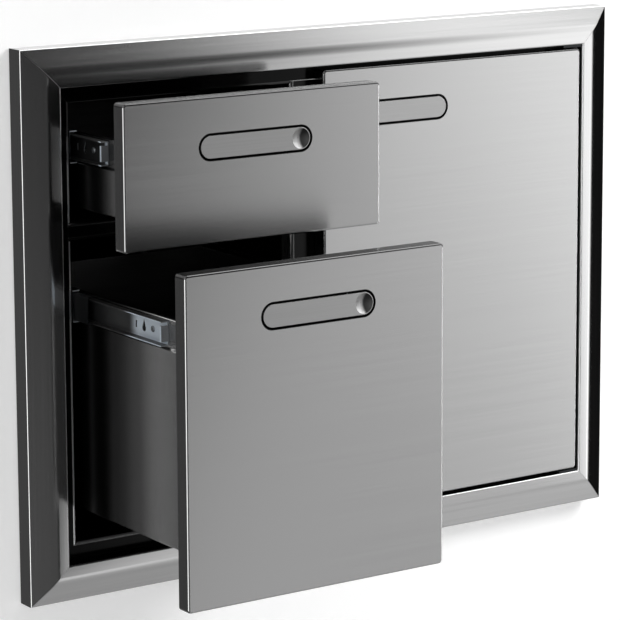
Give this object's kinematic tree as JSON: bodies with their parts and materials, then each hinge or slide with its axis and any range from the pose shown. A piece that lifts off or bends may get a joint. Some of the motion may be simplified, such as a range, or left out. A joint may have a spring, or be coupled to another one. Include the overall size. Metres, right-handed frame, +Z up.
{
  "type": "outdoor kitchen drawer unit",
  "caption": "Built-in steel unit for an outdoor kitchen island: mitred face frame, pull-out drawers on ball-bearing slides and a hinged door with flush press-to-open handles.",
  "frame": {"origin": "middle of the bottom rail's back lip, on the plane of the island's wall", "axes": "+Z up, +Y into the island, +X towards the door's hinge side; the drawers pull out along -Y"},
  "size_m": [0.8, 0.6788, 0.61],
  "materials": {
    "brushed_stainless": "brushed stainless steel",
    "satin_stainless": "satin stainless sheet",
    "zinc_plated_steel": "bright zinc plate",
    "spring_steel": "drawn spring wire",
    "black_plastic": "moulded black plastic"
  },
  "bodies": {
    "door": {"door_bottom_bush": "black_plastic", "door_front_liner": "satin_stainless", "door_front_skin": "brushed_stainless", "door_handle_cup": "satin_stainless", "door_handle_pin": "zinc_plated_steel", "door_handle_spring": "spring_steel", "door_strike_plate": "zinc_plated_steel", "door_top_bush": "black_plastic"},
    "face_frame_and_housing": {"door_bottom_pivot_pin": "zinc_plated_steel", "door_bottom_pivot_plate": "zinc_plated_steel", "door_magnetic_catch": "black_plastic", "door_top_pivot_pin": "zinc_plated_steel", "door_top_pivot_plate": "zinc_plated_steel", "drawer_cross_rail": "satin_stainless", "frame_bottom_rail": "brushed_stainless", "frame_left_stile": "brushed_stainless", "frame_right_stile": "brushed_stainless", "frame_top_rail": "brushed_stainless", "housing_back_panel": "satin_stainless", "housing_bottom_panel": "satin_stainless", "housing_divider_panel": "satin_stainless", "housing_left_panel": "satin_stainless", "housing_top_panel": "satin_stainless", "lower_left_slide_cabinet_member": "zinc_plated_steel", "lower_right_slide_cabinet_member": "zinc_plated_steel", "mullion_post": "satin_stainless", "upper_left_slide_cabinet_member": "zinc_plated_steel", "upper_right_slide_cabinet_member": "zinc_plated_steel"},
    "door_handle": {"door_handle": "brushed_stainless"},
    "lower_drawer": {"lower_drawer_back": "satin_stainless", "lower_drawer_box": "satin_stainless", "lower_drawer_front_liner": "satin_stainless", "lower_drawer_front_skin": "brushed_stainless", "lower_drawer_handle_cup": "satin_stainless", "lower_drawer_handle_pin": "zinc_plated_steel", "lower_drawer_handle_spring": "spring_steel", "lower_left_slide_drawer_member": "zinc_plated_steel", "lower_right_slide_drawer_member": "zinc_plated_steel"},
    "lower_drawer_handle": {"lower_drawer_handle": "brushed_stainless"},
    "lower_left_ball_cage": {"lower_left_slide_ball_cage": "zinc_plated_steel"},
    "lower_right_ball_cage": {"lower_right_slide_ball_cage": "zinc_plated_steel"},
    "upper_drawer": {"upper_drawer_back": "satin_stainless", "upper_drawer_box": "satin_stainless", "upper_drawer_front_liner": "satin_stainless", "upper_drawer_front_skin": "brushed_stainless", "upper_drawer_handle_cup": "satin_stainless", "upper_drawer_handle_pin": "zinc_plated_steel", "upper_drawer_handle_spring": "spring_steel", "upper_left_slide_drawer_member": "zinc_plated_steel", "upper_right_slide_drawer_member": "zinc_plated_steel"},
    "upper_drawer_handle": {"upper_drawer_handle": "brushed_stainless"},
    "upper_left_ball_cage": {"upper_left_slide_ball_cage": "zinc_plated_steel"},
    "upper_right_ball_cage": {"upper_right_slide_ball_cage": "zinc_plated_steel"}
  },
  "joints": [
    {"name": "upper_drawer_slide", "type": "slide", "parent": "face_frame_and_housing", "child": "upper_drawer", "axis": [0, -1, 0], "range_m": [-0.12, 0.18]},
    {"name": "lower_drawer_slide", "type": "slide", "parent": "face_frame_and_housing", "child": "lower_drawer", "axis": [0, -1, 0], "range_m": [-0.237, 0.063]},
    {"name": "upper_left_cage_travel", "type": "slide", "parent": "face_frame_and_housing", "child": "upper_left_ball_cage", "axis": [0, -1, 0], "range_m": [-0.06, 0.09]},
    {"name": "upper_right_cage_travel", "type": "slide", "parent": "face_frame_and_housing", "child": "upper_right_ball_cage", "axis": [0, -1, 0], "range_m": [-0.06, 0.09]},
    {"name": "lower_left_cage_travel", "type": "slide", "parent": "face_frame_and_housing", "child": "lower_left_ball_cage", "axis": [0, -1, 0], "range_m": [-0.1185, 0.0315]},
    {"name": "lower_right_cage_travel", "type": "slide", "parent": "face_frame_and_housing", "child": "lower_right_ball_cage", "axis": [0, -1, 0], "range_m": [-0.1185, 0.0315]},
    {"name": "door_hinge", "type": "hinge", "parent": "face_frame_and_housing", "child": "door", "pos_m": [0.3485, -0.0288, 0.297], "axis": [0, 0, 1], "range_deg": [0, 95]},
    {"name": "upper_handle_pivot", "type": "hinge", "parent": "upper_drawer", "child": "upper_drawer_handle", "pos_m": [-0.1455, -0.149, 0.50085], "axis": [0, 0, 1], "range_deg": [0, 24], "stiffness_Nm_per_rad": 0.05, "springref_deg": -20.05, "deforming": ["upper_drawer_handle_spring"]},
    {"name": "lower_handle_pivot", "type": "hinge", "parent": "lower_drawer", "child": "lower_drawer_handle", "pos_m": [-0.1455, -0.266, 0.33935], "axis": [0, 0, 1], "range_deg": [0, 24], "stiffness_Nm_per_rad": 0.05, "springref_deg": -20.05, "deforming": ["lower_drawer_handle_spring"]},
    {"name": "door_handle_pivot", "type": "hinge", "parent": "door", "child": "door_handle", "pos_m": [0.0405, -0.029, 0.50085], "axis": [0, 0, -1], "range_deg": [0, 24], "stiffness_Nm_per_rad": 0.05, "springref_deg": -20.05, "deforming": ["door_handle_spring"]}
  ],
  "couplings": [
    {"joint": "upper_left_cage_travel", "follows": "upper_drawer_slide", "ratio": 0.5},
    {"joint": "upper_right_cage_travel", "follows": "upper_drawer_slide", "ratio": 0.5},
    {"joint": "lower_left_cage_travel", "follows": "lower_drawer_slide", "ratio": 0.5},
    {"joint": "lower_right_cage_travel", "follows": "lower_drawer_slide", "ratio": 0.5}
  ]
}
